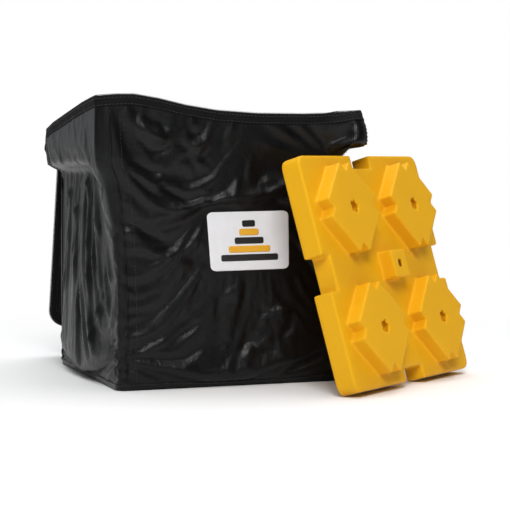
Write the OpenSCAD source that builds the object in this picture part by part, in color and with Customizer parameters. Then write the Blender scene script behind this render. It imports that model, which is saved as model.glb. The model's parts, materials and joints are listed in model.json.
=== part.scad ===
// Leveling blocks in their zip-top carrying bag, with one block leaning on the bag's corner.
// Frame: origin at the centre of the bag's bottom face, +X along the front, +Y to the back, +Z up.

/* [Block] */
// Length of each side of a block
block_w = 216; // [200:1:230]
// Height of the block's side wall, without its pads
block_h = 20; // [18:0.5:24]
// Thickness of the deck, the walls and the ribs
block_t = 3; // [2:0.5:4]
// Corner radius of the block in plan
block_r = 9; // [9:0.5:12]
// Width of the half cut-out in the middle of each side
cut_w = 33; // [20:1:36]
// Depth of each half cut-out
cut_d = 12.5; // [8:0.5:14]

/* [Pads] */
// Height of the four pads and the centre boss above the deck
pad_h = 14.5; // [10:0.5:15]
// Distance from the block's centre lines to a pad's centre
pad_at = 55.8; // [54:0.1:57]
// Distance from a pad's centre to its points
pad_tip = 41.7; // [38:0.1:42]
// Half the width of the notch between two points
pad_notch_w = 8.3; // [6:0.1:9]
// Distance from a pad's centre to the bottom of a notch
pad_notch_at = 34; // [30:0.5:36]
// Room around a pad in the socket of the block above
socket_gap = 0.8; // [0.5:0.1:1.2]
// Side of the square centre boss
boss_w = 26; // [20:0.5:28]
// Side of the square hole in the boss
boss_hole = 7; // [5:0.5:9]
// Outer radius of the star hole in each pad
star_r = 6.8; // [5:0.1:8]

/* [Stack] */
// Number of blocks in the bag
stack_count = 9; // [2:1:9]
// Gap between one block and the next
stack_gap = 0.3; // [0.3:0.1:0.5]

/* [Bag] */
// Outer width of the bag
bag_w = 223.4; // [223.2:0.1:228]
// Outer depth of the bag
bag_d = 222; // [221:0.5:228]
// Thickness of the lined cloth
cloth_t = 1.2; // [1:0.1:1.2]
// Radius of the vertical corners
bag_r = 8; // [7:0.5:8]
// Height of the front rim
rim_front = 256; // [245:1:265]
// Height of the back rim
rim_back = 244; // [236:1:250]

/* [Zip] */
// Width of each zip tape beside its teeth
tape_w = 8.4; // [6:0.1:10]
// Width of each row of teeth
teeth_w = 1.6; // [1.2:0.1:1.8]
// Thickness of each row of teeth
teeth_t = 2.2; // [1.8:0.1:2.4]
// Length of the slider
slider_l = 11; // [9:1:14]
// Length of the pull tab
pull_l = 24; // [18:1:30]

/* [Lid] */
// Angle of the hanging lid from the vertical
lid_hang = 15.5; // [13.5:0.1:17]
// Corner radius of the lid's free edge
lid_r = 20; // [10:1:25]
// Height of the lid's hinge line above the rim
lid_lift = 3.4; // [3.2:0.1:4]
// Width of the handle's webbing
strap_w = 30; // [25:1:38]
// Height of the handle's arch above the lid
strap_h = 18; // [14:1:18]

/* [Label] */
// Width of the label
label_w = 80; // [60:1:90]
// Height of the label
label_h = 54; // [40:1:60]

/* [Leaning block] */
// Angle of the leaning block from the vertical
lean = 16.8; // [16:0.1:17.5]
// Turn of the leaning block from the bag's front
lean_turn = 35.9; // [34:0.1:38]
// Distance from the block's left edge to where it rests on the bag's corner
lean_touch = 100.4; // [90:0.2:125]

/* [Hidden] */
$fn = 64;

cloth_col = [0.06, 0.06, 0.065];
zip_col = [0.09, 0.09, 0.095];
metal_col = [0.25, 0.25, 0.26];
label_col = [0.92, 0.92, 0.92];
block_col = [0.86, 0.62, 0.12];

far = 400;                        // reaches past the whole set
eps = 0.01;                       // keeps cutters clear of the faces they cut
floor_gap = 0.3;                  // from the bottom panel to the lowest block
deck_z = block_h - block_t;       // underside of a block's deck
pitch = block_h + stack_gap;      // rise of each block in the stack
stack_z = cloth_t + floor_gap;    // underside of the lowest block
pad_edge = pad_tip + pad_notch_w; // |x| + |y| along a pad's straight sides
socket_in = pad_edge / sqrt(2) + socket_gap;
socket_rib = 26;                  // length of each rib beside a socket
firm_z = stack_z + (stack_count - 1) * pitch + block_h;

// The corner of the slack cloth above the stack gives way to the leaning block here.
dent_z = [firm_z, firm_z + 25];
dent_x = bag_w / 2 - 18;
dent_y = -bag_d / 2 + 13;

band_h = tape_w + teeth_w;        // from the rim down to the cloth's edge
zip_end_y = bag_d / 2 - bag_r - 1;
hinge_y = bag_d / 2 + 2;
hinge_z = rim_back + lid_lift;
hinge_r = 1.2;                    // half the thickness of the folded binding
lid_from = 2;                     // gap from the hinge line to the lid
lid_l = norm([hinge_y + bag_d / 2, rim_front - rim_back]);
lid_t = cloth_t;
rim_slope = atan((rim_front - rim_back) / bag_d);

teeth_x = bag_w / 2 - cloth_t / 2; // the row of teeth on the bag's right side
slider_y = 90;                    // where the slider is parked
slider_gap = 0.3;
slider_t = 1.3;                   // thickness of the slider's plates
pull_t = 1.4;
pull_w = 7.4;
bail_r = 0.9;
bail_out = 2.7;                   // from the slider's face to the bail's axis
eye_r = bail_r + 0.4;

lean_z = firm_z;                  // height at which the block meets the corner
lean_gap = 0.5;
corner = [bag_w / 2 - bag_r, -bag_d / 2 + bag_r];
along = [cos(lean_turn), sin(lean_turn)];
inward = [-sin(lean_turn), cos(lean_turn)];
lean_back = (lean_gap + sin(lean) * lean_z) / cos(lean);
lean_u = along * corner - lean_touch;
lean_n = inward * corner - bag_r - lean_back;
lean_foot = along * lean_u + inward * lean_n;

// Height of the rim at a place along Y.
function rim_at(y) = rim_front + (rim_back - rim_front) * (y + bag_d / 2) / bag_d;
// A point turned about the origin.
function turned(p, a) = [p.x * cos(a) - p.y * sin(a), p.x * sin(a) + p.y * cos(a)];
// The three points of one notched corner of a pad.
function pad_corner() =
    [[pad_tip, -pad_notch_w], [pad_notch_at, 0], [pad_tip, pad_notch_w]];
function pad_points() = [for (k = [0:3], p = pad_corner()) turned(p, 90 * k)];

// ---- blocks: each is one moulding, drawn as a deck, pads, walls and ribs that meet ----

// A rectangle with rounded corners.
module rounded(w, d, r) {
    square([w, d - 2 * r], center = true);
    square([w - 2 * r, d], center = true);
    for (x = [-1, 1], y = [-1, 1])
        translate([x * (w / 2 - r), y * (d / 2 - r)]) circle(r);
}

// The block's outline, inset by a distance.
module block_plan(inset) {
    difference() {
        rounded(block_w - 2 * inset, block_w - 2 * inset, block_r - inset);
        for (k = [0:3]) rotate(90 * k)
            translate([block_w / 2 - cut_d - inset, -cut_w / 2 - inset])
                square([far, cut_w + 2 * inset]);
    }
}

// Places its child at each of the four pads.
module at_pads() {
    for (x = [-1, 1], y = [-1, 1]) translate([x * pad_at, y * pad_at]) children();
}

// A square standing on its corner, measured from its centre to its sides.
module diamond(half) {
    rotate(45) square(2 * half, center = true);
}

// A five-armed star with blunt arms.
module star() {
    arms = 5;
    inner = 0.55;
    polygon([for (k = [0:arms - 1], p = [[inner, -0.5], [1, -0.26], [1, 0.26]])
        star_r * p.x * [cos(360 / arms * (k + p.y)), sin(360 / arms * (k + p.y))]]);
}

// The hollows inside the pads and the boss.
module pad_hollows() {
    pocket = (pad_edge - block_t * sqrt(2)) / sqrt(2);
    at_pads() intersection() {
        diamond(pocket);
        square(2 * (pad_notch_at - block_t - 1), center = true);
    }
    square(boss_w - 2 * block_t, center = true);
}

// The sheet that joins the whole block, open under the pads.
module block_deck() {
    translate([0, 0, deck_z]) linear_extrude(block_t) difference() {
        block_plan(0);
        pad_hollows();
    }
}

// The four notched pads and the centre boss, hollow, with a star or a square hole on top.
module block_pads() {
    translate([0, 0, block_h]) difference() {
        linear_extrude(pad_h) {
            at_pads() polygon(pad_points());
            square(boss_w, center = true);
        }
        translate([0, 0, -eps]) linear_extrude(pad_h - block_t + eps) pad_hollows();
        linear_extrude(far) {
            at_pads() star();
            square(boss_hole, center = true);
        }
    }
}

// The straight walls along the sides and behind the half cut-outs.
module block_walls() {
    from = cut_w / 2 + block_t;
    to = block_w / 2 - block_r;
    linear_extrude(deck_z) for (k = [0:3]) rotate(90 * k) {
        for (m = [0, 1]) mirror([m, 0])
            translate([from, block_w / 2 - block_t]) square([to - from, block_t]);
        translate([-from, block_w / 2 - cut_d - block_t]) square([2 * from, block_t]);
    }
}

// The corner posts, the walls beside the cut-outs, the middle ribs, and four ribs round the
// socket that takes each pad of the block below. The middle ribs stop short of its boss.
module block_ribs() {
    rib_from = boss_w / 2 + socket_gap;
    rib_to = block_w / 2 - cut_d - block_t;
    linear_extrude(deck_z) for (k = [0:3]) rotate(90 * k) {
        translate([1, 1] * (block_w / 2 - block_r)) intersection() {
            circle(block_r);
            square(block_r);
        }
        for (m = [0, 1]) mirror([m, 0])
            translate([cut_w / 2, block_w / 2 - cut_d]) square([block_t, cut_d]);
        translate([rib_from, -block_t / 2]) square([rib_to - rib_from, block_t]);
        translate([pad_at, pad_at]) for (j = [0:3]) rotate(45 + 90 * j)
            translate([socket_in, -socket_rib / 2]) square([block_t, socket_rib]);
    }
}

// Places its child as a block of the stack, counted from the bottom.
module stacked(n) {
    color(block_col) translate([0, 0, stack_z + (n - 1) * pitch]) children();
}

// Places its child as the block that leans on the bag.
module leaned() {
    color(block_col) translate([lean_foot.x, lean_foot.y, 0]) rotate([0, 0, lean_turn])
        rotate([90 - lean, 0, 0]) translate([block_w / 2, block_w / 2, 0]) children();
}

// ---- bag ----

// The ring of the bag's walls in plan, of a given thickness about the cloth's middle.
module wall_plan(t) {
    grow = (t - cloth_t) / 2;
    difference() {
        rounded(bag_w + 2 * grow, bag_d + 2 * grow, bag_r + grow);
        rounded(bag_w - cloth_t - t, bag_d - cloth_t - t, bag_r - cloth_t / 2 - t / 2);
    }
}

// Everything lower than the rim by at least a distance.
module under_rim(drop) {
    translate([-far, 0, 0]) rotate([90, 0, 90]) linear_extrude(2 * far)
        polygon([[-far, -far], [far, -far], [far, rim_at(far) - drop],
            [-far, rim_at(-far) - drop]]);
}

// The hollow in the front right corner above the stack.
module dent() {
    translate([dent_x, dent_y - far, dent_z[0]])
        cube([far, far, dent_z[1] - dent_z[0]]);
}

// The stretch of wall inside a rectangle given by its low and high corners.
module wall(low, high) {
    color(cloth_col) difference() {
        intersection() {
            translate([0, 0, cloth_t]) linear_extrude(far) intersection() {
                wall_plan(cloth_t);
                translate(low) square(high - low);
            }
            under_rim(band_h);
        }
        dent();
    }
}

module bottom_panel() {
    color(cloth_col) linear_extrude(cloth_t) rounded(bag_w, bag_d, bag_r);
}

module front_panel() {
    wall([-corner.x, -far], [corner.x, corner.y]);
}

module back_panel() {
    wall([-corner.x, -corner.y], [corner.x, far]);
}

module left_panel() {
    wall([-far, corner.y], [-corner.x, -corner.y]);
}

module right_panel() {
    wall([corner.x, corner.y], [far, -corner.y]);
}

module corner_seam_front_left() {
    wall([-far, -far], [-corner.x, corner.y]);
}

module corner_seam_front_right() {
    wall([corner.x, -far], [far, corner.y]);
}

module corner_seam_back_left() {
    wall([-far, -corner.y], [-corner.x, far]);
}

module corner_seam_back_right() {
    wall([corner.x, -corner.y], [far, far]);
}

module label_patch() {
    label_x = 12;
    label_z = 134;
    label_t = 0.6;
    color(label_col) translate([label_x, -bag_d / 2, label_z]) rotate([90, 0, 0])
        linear_extrude(label_t) rounded(label_w, label_h, 6);
}

// A band of the rim between two distances below its top, round three sides of the bag.
module rim_band(from, to, t) {
    intersection() {
        linear_extrude(far) intersection() {
            wall_plan(t);
            translate([-far, -far]) square([2 * far, far + zip_end_y]);
        }
        difference() {
            under_rim(from);
            under_rim(to);
        }
    }
}

module zip_tape_bag() {
    color(zip_col) rim_band(teeth_w, band_h, cloth_t);
}

module zip_teeth_bag() {
    color(zip_col) rim_band(0, teeth_w, teeth_t);
}

// The cap over the end of the teeth on one side.
module zip_stop(side) {
    stop_l = 4;
    stop_t = teeth_t + 1.2;
    color(metal_col) intersection() {
        translate([side * teeth_x - stop_t / 2, zip_end_y, 0])
            cube([stop_t, stop_l, far]);
        difference() {
            under_rim(-0.4);
            under_rim(band_h / 2);
        }
    }
}

module zip_stop_left() {
    zip_stop(-1);
}

module zip_stop_right() {
    zip_stop(1);
}

// The folded binding that joins the lid to the back panel.
module hinge_binding() {
    color(zip_col) {
        translate([-corner.x, hinge_y, hinge_z]) rotate([0, 90, 0])
            cylinder(h = 2 * corner.x, r = hinge_r);
        translate([-corner.x, 0, 0]) rotate([90, 0, 90]) linear_extrude(2 * corner.x)
            polygon([
                [bag_d / 2 - cloth_t, rim_at(bag_d / 2 - cloth_t) - band_h],
                [bag_d / 2, rim_at(bag_d / 2) - band_h],
                [bag_d / 2, hinge_z - hinge_r - 1.2],
                [hinge_y, hinge_z - hinge_r * 0.9],
                [hinge_y, hinge_z],
                [hinge_y - hinge_r * 0.9, hinge_z],
                [bag_d / 2 - cloth_t, hinge_z - hinge_r - 0.8]]);
    }
}

// ---- lid, drawn from its hinge line along +Y with its inside up, then hung ----

module hung() {
    translate([0, hinge_y, hinge_z]) rotate([lid_hang - 90, 0, 0]) children();
}

// The lid's outline, inset on its three free sides.
module lid_plan(inset) {
    w = bag_w - 2 * inset;
    r = lid_r - inset;
    l = lid_l - inset;
    translate([-w / 2, lid_from]) square([w, l - r - lid_from]);
    translate([-w / 2 + r, lid_from]) square([w - 2 * r, l - lid_from]);
    for (x = [-1, 1]) translate([x * (w / 2 - r), l - r]) circle(r);
}

module lid_panel() {
    color(cloth_col) hung() translate([0, 0, -lid_t / 2])
        linear_extrude(lid_t) lid_plan(band_h);
}

// The stretch of the lid's edge between two insets, of a given thickness.
module lid_band(from, to, t) {
    color(zip_col) hung() translate([0, 0, -t / 2]) linear_extrude(t) difference() {
        lid_plan(from);
        lid_plan(to);
    }
}

module zip_tape_lid() {
    lid_band(teeth_w, band_h, lid_t);
}

module zip_teeth_lid() {
    lid_band(0, teeth_w, teeth_t);
}

// The carrying handle: flat sewn ends and a low arch of webbing.
module handle_strap() {
    strap_t = 2.2;
    flat_from = 52;
    ramp = 24;
    end = 104;
    low = -lid_t / 2;
    top = low - strap_h;
    outer = [[-end, low], [-end, low - strap_t], [-flat_from - ramp, low - strap_t],
        [-flat_from, top], [flat_from, top], [flat_from + ramp, low - strap_t],
        [end, low - strap_t], [end, low]];
    inner = [[flat_from + ramp - 2, low], [flat_from - 1, top + strap_t],
        [1 - flat_from, top + strap_t], [2 - flat_from - ramp, low]];
    color(zip_col) hung() translate([0, lid_l / 2 + strap_w / 2, 0]) rotate([90, 0, 0])
        linear_extrude(strap_w) polygon(concat(outer, inner));
}

// ---- slider and pull, drawn round the teeth with the zip along +Y, then placed ----

module on_zip() {
    translate([teeth_x, slider_y, rim_at(slider_y)]) rotate([-rim_slope, 0, 0]) children();
}

module zip_slider() {
    side = teeth_t / 2 + slider_gap;
    low = -7;
    web = [slider_gap, slider_gap + 1.2];
    high = 4.5;
    bail = side + slider_t + bail_out;
    color(metal_col) on_zip() translate([0, -slider_l / 2, 0]) {
        translate([side, 0, low]) cube([slider_t, slider_l, high - low]);
        translate([-side - slider_t, 0, low]) cube([slider_t, slider_l, web[1] - low]);
        translate([-side - slider_t, 0, web[0]])
            cube([2 * (side + slider_t), slider_l, web[1] - web[0]]);
        for (y = [0, slider_l - slider_t])
            translate([side + slider_t - eps, y, -bail_r])
                cube([bail_out, slider_t, 2 * bail_r]);
        translate([bail, 0, 0]) rotate([-90, 0, 0]) cylinder(h = slider_l, r = bail_r);
    }
}

module zip_pull() {
    bail = teeth_t / 2 + slider_gap + slider_t + bail_out;
    color(metal_col) on_zip() translate([bail, -pull_w / 2, 0]) difference() {
        union() {
            rotate([-90, 0, 0]) cylinder(h = pull_w, r = eye_r + 0.9);
            translate([-pull_t / 2, 0, -pull_l]) cube([pull_t, pull_w, pull_l]);
        }
        translate([0, -1, 0]) rotate([-90, 0, 0]) cylinder(h = pull_w + 2, r = eye_r);
    }
}

bottom_panel();
front_panel();
back_panel();
left_panel();
right_panel();
corner_seam_front_left();
corner_seam_front_right();
corner_seam_back_left();
corner_seam_back_right();
label_patch();
zip_tape_bag();
zip_teeth_bag();
zip_stop_left();
zip_stop_right();
hinge_binding();
lid_panel();
zip_tape_lid();
zip_teeth_lid();
handle_strap();
zip_slider();
zip_pull();
stacked(1) block_deck();  // block_1_deck
stacked(1) block_pads();  // block_1_pads
stacked(1) block_walls();  // block_1_walls
stacked(1) block_ribs();  // block_1_ribs
stacked(2) block_deck();  // block_2_deck
stacked(2) block_pads();  // block_2_pads
stacked(2) block_walls();  // block_2_walls
stacked(2) block_ribs();  // block_2_ribs
stacked(3) block_deck();  // block_3_deck
stacked(3) block_pads();  // block_3_pads
stacked(3) block_walls();  // block_3_walls
stacked(3) block_ribs();  // block_3_ribs
stacked(4) block_deck();  // block_4_deck
stacked(4) block_pads();  // block_4_pads
stacked(4) block_walls();  // block_4_walls
stacked(4) block_ribs();  // block_4_ribs
stacked(5) block_deck();  // block_5_deck
stacked(5) block_pads();  // block_5_pads
stacked(5) block_walls();  // block_5_walls
stacked(5) block_ribs();  // block_5_ribs
stacked(6) block_deck();  // block_6_deck
stacked(6) block_pads();  // block_6_pads
stacked(6) block_walls();  // block_6_walls
stacked(6) block_ribs();  // block_6_ribs
stacked(7) block_deck();  // block_7_deck
stacked(7) block_pads();  // block_7_pads
stacked(7) block_walls();  // block_7_walls
stacked(7) block_ribs();  // block_7_ribs
stacked(8) block_deck();  // block_8_deck
stacked(8) block_pads();  // block_8_pads
stacked(8) block_walls();  // block_8_walls
stacked(8) block_ribs();  // block_8_ribs
stacked(9) block_deck();  // block_9_deck
stacked(9) block_pads();  // block_9_pads
stacked(9) block_walls();  // block_9_walls
stacked(9) block_ribs();  // block_9_ribs
leaned() block_deck();  // block_leaning_deck
leaned() block_pads();  // block_leaning_pads
leaned() block_walls();  // block_leaning_walls
leaned() block_ribs();  // block_leaning_ribs
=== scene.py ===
"""Looks of the leveling block set: a soft zip-top bag of nesting blocks, and a loose block leaning on it.
The frame has its origin under the middle of the bag, +X along its front, +Y to its back, +Z up."""
import json
import math

import bmesh
import bpy
import numpy as np
from mathutils import Matrix, Vector


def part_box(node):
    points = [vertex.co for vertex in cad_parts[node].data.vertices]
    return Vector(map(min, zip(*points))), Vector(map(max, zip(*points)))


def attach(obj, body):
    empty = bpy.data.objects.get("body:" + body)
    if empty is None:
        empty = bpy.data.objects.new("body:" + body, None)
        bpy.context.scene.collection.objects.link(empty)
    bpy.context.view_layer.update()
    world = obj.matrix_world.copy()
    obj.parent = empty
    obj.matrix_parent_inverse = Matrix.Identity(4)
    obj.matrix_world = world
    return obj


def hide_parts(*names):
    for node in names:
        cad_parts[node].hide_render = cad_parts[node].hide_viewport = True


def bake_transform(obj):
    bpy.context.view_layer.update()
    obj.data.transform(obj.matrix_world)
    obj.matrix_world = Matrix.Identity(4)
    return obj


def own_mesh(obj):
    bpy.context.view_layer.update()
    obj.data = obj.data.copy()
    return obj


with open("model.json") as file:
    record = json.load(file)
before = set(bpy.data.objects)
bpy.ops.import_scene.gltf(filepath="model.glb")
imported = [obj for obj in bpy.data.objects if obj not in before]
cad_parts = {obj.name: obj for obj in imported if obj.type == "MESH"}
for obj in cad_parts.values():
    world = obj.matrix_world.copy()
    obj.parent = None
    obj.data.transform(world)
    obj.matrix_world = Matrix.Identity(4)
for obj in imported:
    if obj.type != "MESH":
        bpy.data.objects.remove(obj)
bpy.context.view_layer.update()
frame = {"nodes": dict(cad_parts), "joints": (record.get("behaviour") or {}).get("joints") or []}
SCENE = bpy.context.scene

MM = 0.001

# ---- places taken from the frame ----
BOTTOM_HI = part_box("bottom_panel")[1]
HALF_W = BOTTOM_HI.x
HALF_D = BOTTOM_HI.y
CLOTH = BOTTOM_HI.z
JOINTS = {j["name"]: j for j in frame["joints"]}
HINGE = Vector(JOINTS["lid_hinge"]["pos_m"])
BLOCKS = [f"block_{k}" for k in range(1, 10)]
BLOCK_PARTS = ("deck", "pads", "walls", "ribs")

# ---- camera, stage and light ----
CAMERA_AT = (-0.4932, -1.5195, 0.2063)
CAMERA_HEADING = math.radians(-20.0)
CAMERA_PITCH = math.radians(-3.27)
CAMERA_LENS = 114.8
CAMERA_SENSOR = 36
WHITE = (1, 1, 1, 1)
FLOOR_REACH = 8
FLOOR_FADE = (0.24, 0.75)
SKY_DIM = (0.2, (0.035, 0.035, 0.037, 1))
SKY_BRIGHT = (0.75, (0.36, 0.37, 0.385, 1))
SKY_STRENGTH = 0.85
# Each light's name, place, aim, size and power.
LIGHTS = (
    ("key", (-0.7, -2.3, 2.1), (0.05, -0.05, 0.1), 1.2, 66),
    ("top", (0.2, 0.3, 2.4), (0, 0, 0.1), 2.2, 44),
    ("side", (-1.5, 2.3, 0.9), (-0.1, 0, 0.12), 1.8, 3),
)


def linked(name, data):
    """A new object in the scene."""
    made = bpy.data.objects.new(name, data)
    SCENE.collection.objects.link(made)
    return made


def make_camera():
    data = bpy.data.cameras.new("camera")
    data.lens = CAMERA_LENS
    data.sensor_width = CAMERA_SENSOR
    data.clip_start = 0.05
    data.clip_end = 50
    camera = linked("camera", data)
    camera.location = CAMERA_AT
    camera.rotation_euler = (math.pi / 2 + CAMERA_PITCH, 0, CAMERA_HEADING)
    SCENE.camera = camera


def area_light(name, place, aim, size, power):
    data = bpy.data.lights.new(name, "AREA")
    data.shape = "RECTANGLE"
    data.size = size
    data.size_y = size
    data.energy = power
    light = linked(name, data)
    light.location = place
    way = Vector(aim) - Vector(place)
    light.rotation_euler = way.to_track_quat("-Z", "Y").to_euler()


class Nodes:
    """A node tree being built: adds nodes and joins them."""

    def __init__(self, tree):
        self.tree = tree

    def node(self, kind, values=None, **fields):
        made = self.tree.nodes.new(kind)
        for key, value in fields.items():
            setattr(made, key, value)
        for key, value in (values or {}).items():
            made.inputs[key].default_value = value
        return made

    def link(self, a, b):
        self.tree.links.new(a, b)


def make_world():
    """A pale studio: bright behind and at the sides, dim in front, and plain white to the eye."""
    world = bpy.data.worlds.new("studio")
    SCENE.world = world
    world.use_nodes = True
    world.node_tree.nodes.clear()
    sky = Nodes(world.node_tree)
    place = sky.node("ShaderNodeTexCoord")
    split = sky.node("ShaderNodeSeparateXYZ")
    back = sky.node("ShaderNodeMapRange", {"From Min": -1, "From Max": 1})
    ramp = sky.node("ShaderNodeValToRGB")
    for end, (spot, color) in zip(ramp.color_ramp.elements, (SKY_DIM, SKY_BRIGHT)):
        end.position = spot
        end.color = color
    lit = sky.node("ShaderNodeBackground", {"Strength": SKY_STRENGTH})
    seen = sky.node("ShaderNodeBackground", {"Color": WHITE, "Strength": 1.0})
    path = sky.node("ShaderNodeLightPath")
    mix = sky.node("ShaderNodeMixShader")
    out = sky.node("ShaderNodeOutputWorld")
    sky.link(place.outputs["Generated"], split.inputs[0])
    sky.link(split.outputs["Y"], back.inputs["Value"])
    sky.link(back.outputs[0], ramp.inputs[0])
    sky.link(ramp.outputs[0], lit.inputs["Color"])
    sky.link(path.outputs["Is Camera Ray"], mix.inputs[0])
    sky.link(lit.outputs[0], mix.inputs[1])
    sky.link(seen.outputs[0], mix.inputs[2])
    sky.link(mix.outputs[0], out.inputs["Surface"])


def make_stage():
    """A pale floor that takes shadows near the object and fades to white round it."""
    mesh = bpy.data.meshes.new("floor")
    r = FLOOR_REACH
    mesh.from_pydata([(-r, -r, 0), (r, -r, 0), (r, r, 0), (-r, r, 0)], [], [(0, 1, 2, 3)])
    floor = linked("floor", mesh)
    paint = Paint("floor", (0.93, 0.93, 0.93), 0.8, 0.2)
    place = paint.node("ShaderNodeTexCoord")
    far = paint.node("ShaderNodeVectorMath", operation="LENGTH")
    paint.link(place.outputs["Object"], far.inputs[0])
    fade = paint.node("ShaderNodeMapRange", {"From Min": FLOOR_FADE[0], "From Max": FLOOR_FADE[1]},
                      interpolation_type="SMOOTHSTEP")
    paint.link(far.outputs["Value"], fade.inputs["Value"])
    path = paint.node("ShaderNodeLightPath")
    seen = paint.math("MULTIPLY", fade.outputs[0], path.outputs["Is Camera Ray"])
    glow = paint.node("ShaderNodeEmission", {"Color": WHITE, "Strength": 1.0})
    mix = paint.node("ShaderNodeMixShader")
    paint.link(seen, mix.inputs[0])
    paint.link(paint.shader.outputs[0], mix.inputs[1])
    paint.link(glow.outputs[0], mix.inputs[2])
    paint.link(mix.outputs[0], paint.tree.nodes["Material Output"].inputs["Surface"])
    paint.rough(paint.noise(3), 0.75, 0.85)
    mesh.materials.append(paint.material)


# ---- materials ----

class Paint(Nodes):
    """A material being built on a plain shader."""

    def __init__(self, name, color, roughness, specular=0.5):
        self.material = bpy.data.materials.new(name)
        self.material.use_nodes = True
        super().__init__(self.material.node_tree)
        self.shader = self.tree.nodes["Principled BSDF"]
        self.shader.inputs["Base Color"].default_value = (*color, 1)
        self.shader.inputs["Roughness"].default_value = roughness
        self.shader.inputs["Specular IOR Level"].default_value = specular
        self.height = None

    def coords(self, kind="Object", scale=(1, 1, 1), turn=(0, 0, 0)):
        place = self.node("ShaderNodeTexCoord")
        mapping = self.node("ShaderNodeMapping", {"Scale": scale, "Rotation": turn})
        self.link(place.outputs[kind], mapping.inputs["Vector"])
        return mapping.outputs[0]

    def noise(self, scale, detail=4, rough=0.55, warp=0, where=None):
        made = self.node("ShaderNodeTexNoise",
                         {"Scale": scale, "Detail": detail, "Roughness": rough, "Distortion": warp})
        self.link(where or self.coords(), made.inputs["Vector"])
        return made.outputs["Fac"]

    def bands(self, scale, axis, where=None):
        made = self.node("ShaderNodeTexWave", {"Scale": scale, "Distortion": 0.0},
                         wave_type="BANDS", bands_direction=axis, wave_profile="SIN")
        self.link(where or self.coords(), made.inputs["Vector"])
        return made.outputs["Fac"]

    def remap(self, value, low, high, from_low=0.0, from_high=1.0):
        made = self.node("ShaderNodeMapRange", {"From Min": from_low, "From Max": from_high,
                                                "To Min": low, "To Max": high})
        self.link(value, made.inputs["Value"])
        return made.outputs[0]

    def math(self, kind, a, b):
        made = self.node("ShaderNodeMath", operation=kind)
        for socket, value in zip(made.inputs, (a, b)):
            if isinstance(value, (int, float)):
                socket.default_value = value
            else:
                self.link(value, socket)
        return made.outputs[0]

    def tint(self, fac, low, high):
        mix = self.node("ShaderNodeMix", data_type="RGBA")
        mix.inputs[6].default_value = (*low, 1)
        mix.inputs[7].default_value = (*high, 1)
        self.link(fac, mix.inputs[0])
        self.link(mix.outputs[2], self.shader.inputs["Base Color"])

    def rough(self, fac, low, high):
        self.link(self.remap(fac, low, high), self.shader.inputs["Roughness"])

    def bump(self, value, distance, strength=1.0):
        made = self.node("ShaderNodeBump", {"Strength": strength, "Distance": distance})
        self.link(value, made.inputs["Height"])
        if self.height is not None:
            self.link(self.height, made.inputs["Normal"])
        self.height = made.outputs[0]
        self.link(self.height, self.shader.inputs["Normal"])

    def creases(self, sizes, kind="Object", scale=(1, 1, 1), turn=(0, 0, 0)):
        """Small sharp creases, by (fineness, depth, strength)."""
        for fine, depth, strength in sizes:
            fold = self.noise(fine, 2, 0.5, 0.9, self.coords(kind, scale, turn))
            self.bump(self.math("ABSOLUTE", self.math("SUBTRACT", fold, 0.5), 0.0), depth, strength)


def nylon():
    """Coated nylon: nearly black, semi-gloss, finely woven, with small sharp creases."""
    p = Paint("nylon", (0.003, 0.0031, 0.0035), 0.4, 0.24)
    p.tint(p.noise(30, 5), (0.0015, 0.0016, 0.0018), (0.0045, 0.0047, 0.0052))
    p.rough(p.noise(60, 4), 0.26, 0.42)
    uv = p.coords("UV")
    weave = p.math("MULTIPLY", p.bands(420, "X", uv), p.bands(420, "Y", uv))
    p.creases(((26, 0.0016, 0.5), (62, 0.0012, 0.55), (130, 0.0006, 0.45)), "UV", (1, 0.6, 1), (0, 0, 0.15))
    p.bump(p.noise(260, 3, 0.6, 0.3), 0.0004, 0.3)
    p.bump(weave, 0.00012, 0.35)
    return p.material


def lining():
    """The coated inner side of the nylon: duller, with small sharp creases."""
    p = Paint("lining", (0.009, 0.009, 0.0095), 0.5, 0.4)
    p.tint(p.noise(25, 5), (0.006, 0.006, 0.0065), (0.014, 0.014, 0.0145))
    p.rough(p.noise(80, 4), 0.36, 0.55)
    p.creases(((26, 0.0016, 0.5), (70, 0.0010, 0.5)))
    p.bump(p.noise(260, 3, 0.6, 0.5), 0.0004, 0.3)
    return p.material


def tape_cloth():
    """Woven zip tape: matt, with crossing ribs."""
    p = Paint("zip_tape", (0.004, 0.004, 0.0043), 0.78, 0.15)
    uv = p.coords("UV")
    p.tint(p.noise(90, 4), (0.0025, 0.0025, 0.003), (0.007, 0.007, 0.0073))
    p.rough(p.noise(150, 3), 0.70, 0.88)
    p.bump(p.bands(300, "X", uv), 0.00025, 0.5)
    p.bump(p.bands(120, "Y", uv), 0.0004, 0.5)
    return p.material


def coil_plastic():
    """The zip coil's black wire."""
    p = Paint("zip_coil", (0.016, 0.016, 0.017), 0.38, 0.5)
    p.tint(p.noise(300, 3), (0.012, 0.012, 0.0125), (0.026, 0.026, 0.027))
    p.rough(p.noise(200, 3), 0.30, 0.45)
    return p.material


def enamel():
    """Black enamelled zip metal, a little worn."""
    p = Paint("zip_metal", (0.02, 0.02, 0.021), 0.3, 0.6)
    wear = p.noise(220, 5, 0.7)
    p.tint(p.remap(wear, 0, 1, 0.55, 0.75), (0.016, 0.016, 0.017), (0.10, 0.10, 0.105))
    p.rough(wear, 0.22, 0.42)
    p.bump(p.noise(500, 3), 0.0001, 0.3)
    p.shader.inputs["Metallic"].default_value = 0.6
    return p.material


def webbing():
    """Ribbed polypropylene webbing."""
    p = Paint("webbing", (0.007, 0.007, 0.0075), 0.65, 0.25)
    uv = p.coords("UV")
    p.tint(p.noise(110, 4), (0.004, 0.004, 0.0045), (0.012, 0.012, 0.0125))
    p.rough(p.noise(130, 3), 0.55, 0.75)
    ribs = p.math("ADD", p.bands(130, "X", uv), p.bands(260, "DIAGONAL", uv))
    p.bump(ribs, 0.0004, 0.6)
    return p.material


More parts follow.
